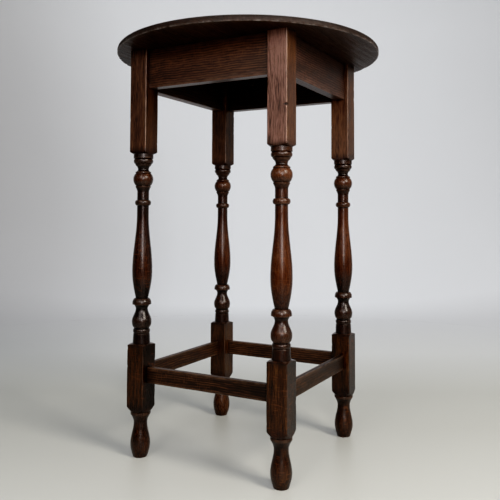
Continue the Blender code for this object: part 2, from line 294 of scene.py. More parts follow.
def revolved(name, points, sides):
    """Closed solid of revolution about Z through points of radius and height."""
    angles = np.arange(sides) * 2 * math.pi / sides
    across, aside = np.cos(angles), np.sin(angles)
    rings = [np.stack([r * across, r * aside, np.full(sides, height)], -1) for r, height in points]
    return grid_mesh(name, np.array(rings))


def boxes(name, ranges):
    """One mesh of separate boxes, each given by its low and high corner."""
    maker = bmesh.new()
    for low, high in ranges:
        size = [b - a for a, b in zip(low, high)]
        centre = [(a + b) / 2 for a, b in zip(low, high)]
        placing = Matrix.Translation(centre) @ Matrix.Diagonal((*size, 1))
        bmesh.ops.create_cube(maker, size=1, matrix=placing)
    mesh = bpy.data.meshes.new(name)
    maker.to_mesh(mesh)
    maker.free()
    return mesh


def combined(base, tool, operation):
    """Mesh of base after a Boolean with tool."""
    pair = []
    for mesh in (base, tool):
        helper = bpy.data.objects.new(mesh.name, mesh)
        bpy.context.scene.collection.objects.link(helper)
        pair.append(helper)
    modifier = pair[0].modifiers.new("joinery", "BOOLEAN")
    modifier.operation = operation
    modifier.object = pair[1]
    graph = bpy.context.evaluated_depsgraph_get()
    result = bpy.data.meshes.new_from_object(pair[0].evaluated_get(graph))
    for helper in pair:
        bpy.data.objects.remove(helper)
    return result


def points_of(mesh):
    flat = np.zeros(len(mesh.vertices) * 3)
    mesh.vertices.foreach_get("co", flat)
    return flat.reshape(-1, 3)


def marked(mesh, grain, wear, grime, dry, tone, fade=0, figure=1):
    """Stores on the mesh each point's place in its board, its age there with painted highlight and shade, and
    how its grain looks.
    """
    count = len(mesh.vertices)
    age = np.stack([np.clip(np.broadcast_to(part, count), 0, 1) for part in (wear, grime, dry)], -1)
    look = np.stack([np.broadcast_to(part, count) for part in (tone, fade, figure)], -1)
    for name, values in (("grain", grain), ("age", age), ("look", look)):
        attribute = mesh.attributes.new(name, "FLOAT_VECTOR", "POINT")
        attribute.data.foreach_set("vector", values.astype(np.float32).ravel())


def finished(node, mesh, surface, turn=0.0, location=(0, 0, 0)):
    """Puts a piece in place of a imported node, riding on the table."""
    mesh.materials.clear()
    mesh.materials.append(surface)
    mesh.shade_smooth()
    mesh.set_sharp_from_angle(angle=SHARP_ANGLE)
    piece = bpy.data.objects.new(f"fine_{node}", mesh)
    bpy.context.scene.collection.objects.link(piece)
    piece.matrix_world = Matrix.Rotation(turn, 4, "Z") @ Matrix.Translation(location)
    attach(piece, "root")
    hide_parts(node)


def drift(x, y, z, seed):
    """Smooth noise from -1 to 1 that differs from piece to piece."""
    step_x, step_y, step_z = SEED_STEPS
    return perlin(Vector((x + seed * step_x, y + seed * step_y, z + seed * step_z)))


def fading(distance, reach):
    """Share from 1 at no distance to little past reach, in a bell curve."""
    return np.exp(-((distance / reach) ** 2))


# Legs

# Angles round the leg, in degrees
LEG_ANGLE_STEP = 5
CORNER_ANGLES = (45, 135, 225, 315)
ARRIS_ANGLES = (-3.9, -2.6, -1.3, 1.3, 2.6, 3.9)

# Worn arrises, with their nicks in millimetres
ARRIS_RADIUS = 1.2 * MM
ARRIS_WEAR = 1.0 * MM
ARRIS_WAVES = 28
ARRIS_NOISE_STEP = 5
NICKS_PER_ARRIS = 7
NICK_LOWEST = 0.08
NICK_TOP_CLEARANCE = 0.02
NICK_HALF_HEIGHTS = (1.2, 3.5)
NICK_DEPTHS = (0.4, 1.9)

# Unevenness of the hand turning
LEG_UNEVENNESS = 0.07 * MM
LEG_WAVES_ROUND = 1.2
LEG_WAVES_ALONG = 45

# An old nail hole beside the outer arris of the front right leg
NAIL_LEG = "front_right"
NAIL_HEIGHT = 0.5783
NAIL_ANGLE = math.radians(222.6)
NAIL_DEPTH = 1.6 * MM
NAIL_HALF_HEIGHT = 1.5 * MM
NAIL_HALF_WIDTH = 2.8 * MM
NAIL_RINGS = 17
NAIL_RINGS_REACH = 2
NAIL_GRIME = 2.5

# Rubbing of the arrises, partly a painted highlight, which grows with height
ARRIS_RUB_REACH = 1.3 * MM
ARRIS_RUB_HEIGHTS = (0.2, 0.5)
ARRIS_RUB_SHARES = (0.10, 1.0)

# A leg is square where its turning would be this much wider than the blank
BLOCK_SIGN = 1.1

# Relief that counts as full wear or grime, and the most that it adds; the wear on crests is partly a painted
# highlight and the grime in hollows partly painted shade
BROAD_WEAR = (3.0 * MM, 0.08)
FINE_WEAR = (0.30 * MM, 0.3)
BROAD_GRIME = (1.8 * MM, 0.8)
FINE_GRIME = (0.16 * MM, 1)

# Grime and painted shade up the leg, most of it about the collars and under the bell, with painted shade on
# the lower ball and under the top
GRIME_MARKS = (
    (0.0, 0.5), (0.012, 0.1), (0.055, 0.1), (0.068, 0.5), (0.080, 0.35), (0.095, 0.0),
    (0.181, 0.0), (0.188, 0.8), (0.212, 0.75), (0.223, 0.4), (0.244, 0.35), (0.253, 0.6),
    (0.258, 0.2), (0.263, 0.45), (0.272, 0.55), (0.300, 0.1), (0.325, 0.0), (0.400, 0.0),
    (0.420, 0.35), (0.445, 0.45), (0.457, 0.6), (0.466, 0.4), (0.472, 0.0), (0.479, 0.1),
    (0.485, 0.5), (0.494, 0.5), (0.497, 0.7), (0.515, 0.7), (0.521, 0.4), (0.526, 0.0),
    (0.680, 0.0), (0.695, 0.6),
)
GRIME_HEIGHTS, GRIME_LEVELS = zip(*GRIME_MARKS)

# Tone up every leg: painted shade, darker towards the floor, and a painted highlight on the upper ball
TONE_MARKS = (
    (0.0, -0.37), (0.085, -0.35), (0.095, -0.22), (0.19, -0.22), (0.28, -0.18), (0.31, 0.0), (0.40, 0.0),
    (0.43, -0.04), (0.462, -0.08), (0.470, 0.10), (0.479, 0.10), (0.484, -0.02), (0.515, -0.04), (0.53, 0.05),
)
TONE_HEIGHTS, TONE_STEPS = zip(*TONE_MARKS)

# Each leg's own tone at these heights, tones of its foot and of its blocks' sides (painted shade), low
# dryness, fading (partly a painted sheen)
LEG_TONE_HEIGHTS = (0.19, 0.21, 0.51, 0.53)
LEG_LOOKS = {
    "front_left": ((0.13, -0.22, -0.22, -0.06), 0.08, -0.34, 0.0, 0.0, 0.22),
    "front_right": ((0.10, 0.06, 0.06, 0.06), 0.0, -0.20, 0.0, 0.0, 0.95),
    "back_right": ((0.09, -0.01, 0.02, 0.12), 0.07, -0.16, -0.12, 0.1, 0.20),
    "back_left": ((0.14, -0.04, -0.04, 0.02), 0.20, 0.04, 0.0, 0.8, 0.16),
}

# Dry and faded blocks, most of all on their front faces, where the fading is partly a painted sheen
UPPER_BLOCK_START = (0.517, 0.522)
LOWER_BLOCK_ENDS = (0.080, 0.092, 0.185, 0.191)
UPPER_DRYNESS = 0.4
SIDE_FADE = 0.12

# How much of the grain shows on the turning and on the foot, against all of it on the blocks
TURNED_FIGURE = 0.60
FOOT_FIGURE = 0.7
FOOT_END = (0.072, 0.080)

# Place of the pith beside each leg
PITH_TURN = 1.9
PITH_DISTANCE = 0.055
PITH_DISTANCE_STEP = 0.012


def leg_angles():
    steps = [math.radians(step) for step in range(0, 360, LEG_ANGLE_STEP)]
    corners = [math.radians(corner + extra) for corner in CORNER_ANGLES for extra in ARRIS_ANGLES]
    return np.array(sorted(steps + corners))


def blank_reach(angles, corners):
    """Distance from the axis to the faces of the square blank with rounded arrises."""
    across, aside = np.abs(np.cos(angles)), np.abs(np.sin(angles))
    flat = HALF_BLANK / np.maximum(across, aside)
    inner = HALF_BLANK - corners
    lean = inner * (across + aside)
    arc = lean + np.sqrt(np.maximum(lean**2 - 2 * inner**2 + corners**2, 0))
    return np.where(np.minimum(flat * across, flat * aside) > inner, arc, flat)


def arris_radii(heights, seed):
    """Radius of each of a leg's four arrises up its height, with wear and nicks."""
    draw = random.Random(seed)
    columns = []
    for corner in range(len(CORNER_ANGLES)):
        waves = [drift(height * ARRIS_WAVES, corner * ARRIS_NOISE_STEP, 0, seed) for height in heights]
        column = ARRIS_RADIUS + ARRIS_WEAR * (0.5 + 0.5 * np.array(waves))
        for _ in range(NICKS_PER_ARRIS):
            centre = draw.uniform(NICK_LOWEST, LEG_LENGTH - NICK_TOP_CLEARANCE)
            half = draw.uniform(*NICK_HALF_HEIGHTS) * MM
            column += draw.uniform(*NICK_DEPTHS) * MM * fading(heights - centre, half)
        columns.append(column)
    return np.stack(columns, -1)


def leg_rings(seed, corner):
    """Points of a leg from the floor up: the turning, cut off by the faces of the blank."""
    heights, radii = PROFILE_HEIGHTS, PROFILE_RADII
    if corner == NAIL_LEG:
        close = NAIL_HEIGHT + np.linspace(-NAIL_RINGS_REACH, NAIL_RINGS_REACH, NAIL_RINGS) * NAIL_HALF_HEIGHT
        heights = np.unique(np.concatenate([heights, close]))
        radii = np.interp(heights, PROFILE_HEIGHTS, PROFILE_RADII)
    angles = leg_angles()
    quarter = (angles // QUARTER_TURN).astype(int)
    corners = arris_radii(heights, seed)[:, quarter]
    reach = np.minimum(radii[:, None], blank_reach(angles[None, :], corners))
    for ring, height in enumerate(heights):
        for side, angle in enumerate(angles):
            across, aside = math.cos(angle) * LEG_WAVES_ROUND, math.sin(angle) * LEG_WAVES_ROUND
            reach[ring, side] += LEG_UNEVENNESS * (drift(across, aside, height * LEG_WAVES_ALONG, seed) - 1)
    if corner == NAIL_LEG:
        reach -= NAIL_DEPTH * nail_mark(heights[:, None], angles[None, :])
    flat = [reach * np.cos(angles), reach * np.sin(angles), np.broadcast_to(heights[:, None], reach.shape)]
    return np.stack(flat, -1)


def nail_mark(heights, angles):
    """Share of the nail hole's depth at a place on its leg."""
    aside = (angles - NAIL_ANGLE) * HALF_BLANK * math.sqrt(2) / NAIL_HALF_WIDTH
    return np.exp(-(((heights - NAIL_HEIGHT) / NAIL_HALF_HEIGHT) ** 2) - aside**2)


def mortises(low, high, cheek, rise, drop):
    """Mortises in a leg's two inner faces for the tenons of one kind of rail, from the leg's own axis."""
    inner, outer = LEG_AXIS - high.x - FIT_GAP, HALF_BLANK + CUT_OVERRUN
    near, far = LEG_AXIS + low.y + cheek - FIT_GAP, LEG_AXIS + high.y - cheek + FIT_GAP
    base, top = low.z + rise - FIT_GAP, high.z - drop + FIT_GAP
    return [((inner, near, base), (outer, far, top)), ((near, inner, base), (far, outer, top))]


def capped(relief, limit):
    """Wear or grime that relief brings, by the relief that counts as full and the most that it adds: wear
    with painted highlight on crests, grime with painted shade in hollows.
    """
    full, most = limit
    return np.clip(relief / full, 0, most)


def leg_marks(points, corner):
    """Wear, partly a painted highlight, and grime with painted shade over a leg."""
    heights = points[:, 2]
    broad = np.interp(heights, RELIEF_HEIGHTS, BROAD_RELIEF)
    fine = np.interp(heights, RELIEF_HEIGHTS, FINE_RELIEF)
    in_block = np.interp(heights, PROFILE_HEIGHTS, PROFILE_RADII) > HALF_BLANK * BLOCK_SIGN
    aside = HALF_BLANK - np.abs(points[:, :2])
    arris = fading(np.hypot(aside[:, 0], aside[:, 1]), ARRIS_RUB_REACH) * in_block
    arris *= np.interp(heights, ARRIS_RUB_HEIGHTS, ARRIS_RUB_SHARES)
    wear = arris + capped(broad, BROAD_WEAR) + capped(fine, FINE_WEAR)
    grime = capped(-broad, BROAD_GRIME) + capped(-fine, FINE_GRIME)
    grime += np.interp(heights, GRIME_HEIGHTS, GRIME_LEVELS)
    if corner == NAIL_LEG:
        angles = np.arctan2(points[:, 1], points[:, 0]) % (2 * math.pi)
        hole = NAIL_GRIME * nail_mark(heights, angles)
        grime += hole
        wear -= hole
    return wear, grime


def leg_looks(points, turn, corner):
    """Dryness, tone, fading and figure over a leg, by height and by face. The tone paints shade low down and
    on the blocks' sides, and the fading is partly a painted sheen on the front faces.
    """
    heights = points[:, 2]
    own_tones, foot_tone, low_side_tone, high_side_tone, low_dryness, fading_share = LEG_LOOKS[corner]
    upper = np.interp(heights, UPPER_BLOCK_START, (0, 1))
    lower = np.interp(heights, LOWER_BLOCK_ENDS, (0, 1, 1, 0))
    foot = np.interp(heights, FOOT_END, (1, 0))
    front, aside = np.abs(points[:, (turn + 1) % 2]), np.abs(points[:, turn % 2])
    tone = np.interp(heights, TONE_HEIGHTS, TONE_STEPS)
    tone += np.interp(heights, LEG_TONE_HEIGHTS, own_tones)
    tone += foot_tone * foot
    # Painted shade on the blocks' side faces
    tone += (front <= aside) * (low_side_tone * lower + high_side_tone * upper)
    dry = UPPER_DRYNESS * upper + low_dryness * lower
    fade = fading_share * upper * np.where(front > aside, 1.0, SIDE_FADE)
    shown = np.maximum(np.maximum(upper, lower), FOOT_FIGURE * foot)
    return dry, tone, fade, TURNED_FIGURE + (1 - TURNED_FIGURE) * shown


def leg_grain(points, seed):
    """Place of each point in a blank cut along Z, from its pith."""
    away = Vector((PITH_DISTANCE + PITH_DISTANCE_STEP * seed, 0, 0))
    pith = Matrix.Rotation(seed * PITH_TURN, 3, "Z") @ away
    return np.stack([points[:, 2] + seed, points[:, 0] + pith.x, points[:, 1] + pith.y], -1)


def build_legs(surface):
    cuts = mortises(APRON_LOW, APRON_HIGH, *APRON_TENON)
    cuts += mortises(STRETCHER_LOW, STRETCHER_HIGH, *STRETCHER_TENON)
    for turn, (_, corner) in enumerate(SIDES):
        seed = turn + 1
        blank = grid_mesh(f"fine_leg_{corner}", leg_rings(seed, corner))
        mesh = combined(blank, boxes("mortises", cuts), "DIFFERENCE")
        points = points_of(mesh)
        marked(mesh, leg_grain(points, seed), *leg_marks(points, corner), *leg_looks(points, turn, corner))
        place = (-LEG_AXIS, -LEG_AXIS, 0)
        finished(f"leg_{corner}", mesh, surface, turn * QUARTER_TURN, place)


# Rails

# Worn arrises and planed faces
RAIL_ARRIS = 0.9 * MM
RAIL_ARRIS_SWAY = 0.5
RAIL_ARRIS_WAVES = 35
RAIL_NOISE_STEP = 4
RAIL_UNEVENNESS = 0.10 * MM
RAIL_WAVES_ALONG = 22
RAIL_WAVES_ROUND = 30
RAIL_WAVES_ACROSS = 2
RAIL_STEP = 3 * MM
RAIL_FLAT_STEPS = 6
RAIL_ARC_STEPS = 5

# Rubbing of the arrises, grime at the legs, and the hidden faces, which the aprons darken with painted shade
RAIL_RUB_REACH = 1.6 * MM
RAIL_END_GRIME = 0.8
RAIL_END_REACH = 5 * MM
RAIL_INNER_REACH = 2 * MM

# Aprons, with the tone, fading and dryness of each
APRON_SEED = 10
APRON_PITH = (0.16, -0.60)
APRON_LOOKS = {
    "front": (0.0, 0.05, 0.0), "right": (-0.22, 0.36, 0.44),
    "back": (0.06, 0.05, 0.1), "left": (0.06, 0.1, 0.1),
}
APRON_FIGURE = 0.76
# Painted shade on the apron under the top and on its inner face
APRON_TOP_GRIME = 0.7
APRON_TOP_REACH = 9 * MM
APRON_INNER_GRIME = 0.75

# Stretchers, with the tone and dryness of each
STRETCHER_SEED = 20
STRETCHER_PITH = (0.19, -0.06)
STRETCHER_LOOKS = {"front": (-0.08, 0.2), "right": (-0.16, 0.5), "back": (0.06, 0.2), "left": (-0.04, 0.4)}
STRETCHER_INNER_DRYNESS = 0.6


def rail_rings(low, high, seed):
    """Points of a bar along X with four eased and worn arrises."""
    stations = np.linspace(-SHOULDER, SHOULDER, round(2 * SHOULDER / RAIL_STEP) + 1)
    turns = np.linspace(0, QUARTER_TURN, RAIL_ARC_STEPS + 1)
    corners = ((high.y, low.z, -1, 1), (high.y, high.z, -1, -1), (low.y, high.z, 1, -1), (low.y, low.z, 1, 1))
    rings = []
    for station in stations:
        ring = []
        for index, (y, z, inward_y, inward_z) in enumerate(corners):
            wave = drift(station * RAIL_ARRIS_WAVES, index * RAIL_NOISE_STEP, 0, seed)
            radius = RAIL_ARRIS * (1 + RAIL_ARRIS_SWAY * wave)
            start = (index - 1) * QUARTER_TURN
            for turn in turns:
                ring.append((
                    y + inward_y * radius + radius * math.cos(start + turn),
                    z + inward_z * radius + radius * math.sin(start + turn),
                ))
        rings.append(flats_divided(station, ring, seed))
    return np.array(rings)


def flats_divided(station, ring, seed):
    """One section of a rail, with points along its flats, a little uneven as a hand plane leaves them."""
    section = []
    size = RAIL_ARC_STEPS + 1
    for index, (y, z) in enumerate(ring):
        section.append((station, y, z))
        if index % size == size - 1:
            after_y, after_z = ring[(index + 1) % len(ring)]
            across = Vector((after_z - z, y - after_y)).normalized()
            for step in range(1, RAIL_FLAT_STEPS):
                share = step / RAIL_FLAT_STEPS
                place = (station * RAIL_WAVES_ALONG, (y + z) * RAIL_WAVES_ROUND, share * RAIL_WAVES_ACROSS)
                dip = RAIL_UNEVENNESS * (drift(*place, seed) - 1)
                section.append((
                    station,
                    y + (after_y - y) * share + across.x * dip,
                    z + (after_z - z) * share + across.y * dip,
                ))
    return section


def rail_mesh(name, low, high, cheek, rise, drop, seed):
    """Worn bar with a tenon standing out of each end."""
    ends = ((low.x, low.y + cheek, low.z + rise), (high.x, high.y - cheek, high.z - drop))
    return combined(grid_mesh(name, rail_rings(low, high, seed)), boxes("tenons", [ends]), "UNION")


def rail_marks(points, low, high):
    """Wear along a rail's arrises, grime where it meets the legs, and nearness to its inner face."""
    aside = np.minimum(points[:, 1] - low.y, high.y - points[:, 1])
    down = np.minimum(points[:, 2] - low.z, high.z - points[:, 2])
    wear = fading(np.hypot(aside, down), RAIL_RUB_REACH)
    grime = RAIL_END_GRIME * np.exp(-np.abs(SHOULDER - np.abs(points[:, 0])) / RAIL_END_REACH)
    return wear, grime, np.exp(-(high.y - points[:, 1]) / RAIL_INNER_REACH)


def rail_grain(points, seed, pith):
    """Place of each point in a board cut along X."""
    return np.stack([points[:, 0] + seed, points[:, 1] + pith[0], points[:, 2] + pith[1]], -1)


def screw_seat(offset):
    """Placing of a front screw: at its seat in the apron, with Z along the screw up into the top."""
    centre = (APRON_LOW.y + APRON_HIGH.y) / 2
    inward, down = SCREW_SEAT_DEPTH * math.sin(SCREW_TILT), SCREW_SEAT_DEPTH * math.cos(SCREW_TILT)
    seat = Matrix.Translation((offset, centre + inward, LEG_LENGTH - down))
    return seat @ Matrix.Rotation(SCREW_TILT, 4, "X")


def screw_channels(placings):
    """One cutter of stepped bores: a pocket below each seat, and the screw's hole above it."""
    points = [(POCKET_RADIUS, -POCKET_LENGTH), (POCKET_RADIUS, 0)]
    points += [(SCREW_HOLE_RADIUS, 0), (SCREW_HOLE_RADIUS, SCREW_LENGTH)]
    bore = revolved("bore", points, BORE_SIDES)
    maker = bmesh.new()
    for placing in placings:
        bore.transform(placing)
        maker.from_mesh(bore)
        bore.transform(placing.inverted())
    cutter = bpy.data.meshes.new("channels")
    maker.to_mesh(cutter)
    maker.free()
    return cutter


def build_apron(turn, side, channels, surface):
    seed = APRON_SEED + turn
    mesh = rail_mesh(f"fine_apron_{side}", APRON_LOW, APRON_HIGH, *APRON_TENON, seed)
    mesh = combined(mesh, channels, "DIFFERENCE")
    points = points_of(mesh)
    wear, grime, inner = rail_marks(points, APRON_LOW, APRON_HIGH)
    # Painted shade under the top and on the inner face
    under_top = np.exp(-(APRON_HIGH.z - points[:, 2]) / APRON_TOP_REACH)
    grime = grime + APRON_TOP_GRIME * under_top + APRON_INNER_GRIME * inner
    tone, fade, dryness = APRON_LOOKS[side]
    grain = rail_grain(points, seed, APRON_PITH)
    marked(mesh, grain, wear, grime, np.maximum(inner, dryness), tone, fade, APRON_FIGURE)
    finished(f"apron_{side}", mesh, surface, turn * QUARTER_TURN)


def build_stretcher(turn, side, surface):
    seed = STRETCHER_SEED + turn
    mesh = rail_mesh(f"fine_stretcher_{side}", STRETCHER_LOW, STRETCHER_HIGH, *STRETCHER_TENON, seed)
    points = points_of(mesh)
    wear, grime, inner = rail_marks(points, STRETCHER_LOW, STRETCHER_HIGH)
    tone, dryness = STRETCHER_LOOKS[side]
    dry = np.maximum(STRETCHER_INNER_DRYNESS * inner, dryness)
    marked(mesh, rail_grain(points, seed, STRETCHER_PITH), wear, grime, dry, tone)
    finished(f"stretcher_{side}", mesh, surface, turn * QUARTER_TURN)


def build_rails(apron_surface, stretcher_surface):
    channels = screw_channels([screw_seat(-SCREW_OFFSET), screw_seat(SCREW_OFFSET)])
    for turn, (side, _) in enumerate(SIDES):
        build_apron(turn, side, channels, apron_surface)
        build_stretcher(turn, side, stretcher_surface)


# Top

# Edge, from the eased lower arris up a wide rounding to the upper face
TOP_SIDES = 720
TOP_ROUNDING_DEPTH = 8 * MM
TOP_ROUNDING_HEIGHT = 6.5 * MM
TOP_ROUNDING_STEPS = 10
TOP_LOWER_EASE = 0.9 * MM
TOP_EASE_MIDDLE = 0.3 * TOP_LOWER_EASE
TOP_NEAR_RING = 3 * MM
TOP_FACE_RING = 24 * MM
TOP_SEED = 31
TOP_WAVES = 9
TOP_EDGE_UNEVENNESS = 0.15 * MM
TOP_UNEVEN_REACH = 4 * MM

# Chips in the lower arris: those the picture shows, in degrees and millimetres, and others at random
SEEN_CHIPS = ((-50.6, 1.6, 1.0), (-36.3, 1.4, 0.9), (-75.3, 1.8, 0.8))
CHIP_SEED = 41
CHIP_COUNT = 40
CHIP_HALF_WIDTHS = (1, 4.5)
CHIP_DEPTHS = (0.2, 1.1)
CHIP_RISE = 1.8 * MM
CHIP_REACH = 2.5 * MM
CHIP_LIFT = 0.8

# Wear of the lower arris, partly a painted highlight, its chips and the rim
TOP_RUB = 0.30
TOP_RUB_REACH = 1.6 * MM
CHIP_WORN_DEPTH = 0.7 * MM
RIM_WEAR = 0.04
RIM_WEAR_REACH = 9 * MM

# The dry underside, and a rim darkened with painted shade, darkest where it turns to the upper face
UNDERSIDE_HEIGHT = 0.5 * MM
UNDERSIDE_DRYNESS = 0.8
UNDERSIDE_EDGE = 2 * MM
UNDERSIDE_TONE = 0.20
RIM_START = 1 * MM
RIM_REACH = 6 * MM
RIM_GRIME = 0.3
UPPER_RIM_GRIME = 0.35
UPPER_RIM_HEIGHT = 4 * MM
UPPER_RIM_RISE = 2 * MM

# Place of each board in its tree, and its tone against the next
BOARD_START = 3
BOARD_ASIDE = 0.02
BOARD_PITH = 0.55
BOARD_PITH_STEP = 0.06
BOARD_TONE_STEP = 0.03


def chips():
    """Small losses along the lower arris of the top: angle, half width, depth."""
    draw = random.Random(CHIP_SEED)
    found = [(math.radians(angle), half * MM, deep * MM) for angle, half, deep in SEEN_CHIPS]
    for _ in range(CHIP_COUNT):
        angle = draw.uniform(0, 2 * math.pi)
        found.append((angle, draw.uniform(*CHIP_HALF_WIDTHS) * MM, draw.uniform(*CHIP_DEPTHS) * MM))
    return found


CHIPS = chips()


def chip_depths(angles):
    """Depth of the losses at angles round the top."""
    depth = np.zeros_like(angles)
    for angle, half, deep in CHIPS:
        away = (angles - angle + math.pi) % (2 * math.pi) - math.pi
        depth = np.maximum(depth, deep * fading(away * TOP_RADIUS, half))
    return depth


def top_points():
    """Edge of the top as inset from the rim and height, from the underside round to the upper face."""
    thickness = BOARD_HIGH.z - BOARD_LOW.z
    points = [
        (TOP_FACE_RING, 0),
        (TOP_NEAR_RING, 0),
        (TOP_LOWER_EASE, 0),
        (TOP_EASE_MIDDLE, TOP_EASE_MIDDLE),
        (0, TOP_LOWER_EASE),
        (0, (TOP_LOWER_EASE + thickness - TOP_ROUNDING_HEIGHT) / 2),
    ]
    for step in range(TOP_ROUNDING_STEPS + 1):
        across, along = round_in(step / TOP_ROUNDING_STEPS)
        points.append((TOP_ROUNDING_DEPTH * across, thickness - TOP_ROUNDING_HEIGHT * (1 - along)))
    points.append((TOP_FACE_RING, thickness))
    return points


def top_mesh():
    angles = np.arange(TOP_SIDES) * 2 * math.pi / TOP_SIDES
    depths = chip_depths(angles)
    sway = np.array([drift(math.cos(a) * TOP_WAVES, math.sin(a) * TOP_WAVES, 0, TOP_SEED) for a in angles])
    rings = []
    for inset, height in top_points():
        low = math.exp(-height / CHIP_RISE) * math.exp(-inset / CHIP_REACH)
        rim = math.exp(-inset / TOP_UNEVEN_REACH)
        reach = TOP_RADIUS - inset - depths * low + TOP_EDGE_UNEVENNESS * (sway - 1) * rim
        lift = BOARD_LOW.z + height + CHIP_LIFT * depths * low
        rings.append(np.stack([reach * np.cos(angles), reach * np.sin(angles), lift], -1))
    return grid_mesh("top", np.array(rings))


def top_marks(points):
    """Wear, partly a painted highlight, and painted shade along the rim, and the dry underside with its tone.
    """
    inset = TOP_RADIUS - np.hypot(points[:, 0], points[:, 1])
    height = points[:, 2] - BOARD_LOW.z
    angles = np.arctan2(points[:, 1], points[:, 0]) % (2 * math.pi)
    near_arris = fading(np.hypot(inset, height), TOP_RUB_REACH)
    wear = TOP_RUB * near_arris + chip_depths(angles) / CHIP_WORN_DEPTH * near_arris
    wear += RIM_WEAR * fading(inset, RIM_WEAR_REACH)
    beneath = height < UNDERSIDE_HEIGHT
    dry = np.where(beneath, UNDERSIDE_DRYNESS * (1 - np.exp(-np.maximum(inset, 0) / UNDERSIDE_EDGE)), 0)
    rim = np.clip((height - UNDERSIDE_HEIGHT) / RIM_START, 0, 1) * fading(inset, RIM_REACH)
    upper_rim = np.clip((height - UPPER_RIM_HEIGHT) / UPPER_RIM_RISE, 0, 1)
    grime = rim * (RIM_GRIME + UPPER_RIM_GRIME * upper_rim)
    return wear, grime, np.maximum(dry, rim), np.where(beneath, UNDERSIDE_TONE, 0)


def board_grain(points, index):
    """Place of each point in a board cut along Y."""
    along, aside = points[:, 1] + BOARD_START + index, points[:, 0] + BOARD_ASIDE * index
    return np.stack([along, aside, points[:, 2] - BOARD_PITH - BOARD_PITH_STEP * index], -1)


def build_top(surface):
    turns = [Matrix.Rotation(turn * QUARTER_TURN, 4, "Z") for turn in range(len(SIDES))]
    front = [screw_seat(-SCREW_OFFSET), screw_seat(SCREW_OFFSET)]
    channels = screw_channels([turn @ seat for turn in turns for seat in front])
    disc = top_mesh()
    reach = TOP_RADIUS + CUT_OVERRUN
    for index, side in enumerate(("left", "centre", "right")):
        low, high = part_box(f"top_board_{side}")
        left = -reach if side == "left" else low.x
        right = reach if side == "right" else high.x
        plank = boxes("plank", [((left, -reach, low.z - CUT_OVERRUN), (right, reach, high.z + CUT_OVERRUN))])
        mesh = combined(combined(disc.copy(), plank, "INTERSECT"), channels, "DIFFERENCE")
        points = points_of(mesh)
        wear, grime, dry, tone = top_marks(points)
        marked(mesh, board_grain(points, index), wear, grime, dry, tone + BOARD_TONE_STEP * (index - 1))
        finished(f"top_board_{side}", mesh, surface)


# Materials

# Colour sockets of a Mix node: the two that go in, and the one that comes out
MIX_FIRST, MIX_SECOND, MIX_RESULT = 6, 7, 2


class Nodes:
    """Short way to add and link the nodes of one material."""

    def __init__(self, name):
        self.material = bpy.data.materials.new(name)
        self.material.use_nodes = True
        self.tree = self.material.node_tree
        self.shader = self.tree.nodes["Principled BSDF"]

    def put(self, socket, value):
        if isinstance(value, bpy.types.NodeSocket):
            self.tree.links.new(value, socket)
        else:
            socket.default_value = value

    def add(self, kind, *values, **settings):
        node = self.tree.nodes.new("ShaderNode" + kind)
        for name, value in settings.items():
            setattr(node, name, value)
        for socket, value in zip(node.inputs, values):
            if value is not None:
                self.put(socket, value)
        return node

    def stored(self, name):
        return self.add("Attribute", attribute_name=name).outputs["Vector"]

    def parts(self, vector):
        return self.add("SeparateXYZ", vector).outputs

    def sum(self, first, second):
        return self.add("Math", first, second, operation="ADD").outputs[0]

    def product(self, first, second):
        return self.add("Math", first, second, operation="MULTIPLY").outputs[0]

    def weighted(self, *parts):
        """Sum of values, each given with its weight."""
        return reduce(self.sum, [self.product(value, weight) for value, weight in parts])

    def dot(self, vector, direction):
        return self.add("VectorMath", vector, direction, operation="DOT_PRODUCT").outputs["Value"]

    def stretched(self, vector, scale):
        return self.add("VectorMath", vector, scale, operation="MULTIPLY").outputs[0]

    def noise(self, vector, scale, detail=2.0, roughness=0.5):
        node = self.add("TexNoise", self.stretched(vector, scale))
        self.put(node.inputs["Scale"], 1.0)
        self.put(node.inputs["Detail"], detail)
        self.put(node.inputs["Roughness"], roughness)
        return node

    def layer(self, vector, scale, detail, roughness=0.5, levels=None):
        """Noise as it is, or between the levels where it starts to show and shows in full."""
        level = self.noise(vector, scale, detail, roughness).outputs["Fac"]
        return self.ranged(level, *levels) if levels else level

    def swayed(self, vector, scale, reach):
        sway = self.noise(vector, scale).outputs["Color"]
        offset = self.add("VectorMath", sway, (0.5, 0.5, 0.5), operation="SUBTRACT").outputs[0]
        shift = self.stretched(offset, (0, reach, reach))
        return self.add("VectorMath", vector, shift, operation="ADD").outputs[0]

    def ranged(self, value, low, high, to_low=0.0, to_high=1.0):
        return self.add("MapRange", value, low, high, to_low, to_high).outputs[0]

    def levels(self, value, marks):
        """Level between marks of place and level."""
        low, high = marks[0][0], marks[-1][0]
        ramp = self.add("ValToRGB", self.ranged(value, low, high))
        ends = ramp.color_ramp.elements
        for spot, level in marks:
            share = (spot - low) / (high - low)
            element = ends[0] if spot == low else ends[-1] if spot == high else ends.new(share)
            element.color = shade(level, level, level)
        return ramp.outputs["Color"]

    def mixed(self, share, first, second):
        node = self.add("Mix", data_type="RGBA")
        self.put(node.inputs[0], share)
        self.put(node.inputs[MIX_FIRST], first)
        self.put(node.inputs[MIX_SECOND], second)
        return node.outputs[MIX_RESULT]

    def set(self, **inputs):
        for name, value in inputs.items():
            self.put(self.shader.inputs[name.replace("_", " ")], value)


def shade(red, green, blue):
    return red, green, blue, 1


# Faded colour, partly a painted sheen; dry colour; grime colour, which also paints shade
FADED_OAK = shade(0.195, 0.103, 0.082)
DRY_OAK = shade(0.030, 0.020, 0.014)
OLD_GRIME = shade(0.004, 0.0025, 0.002)

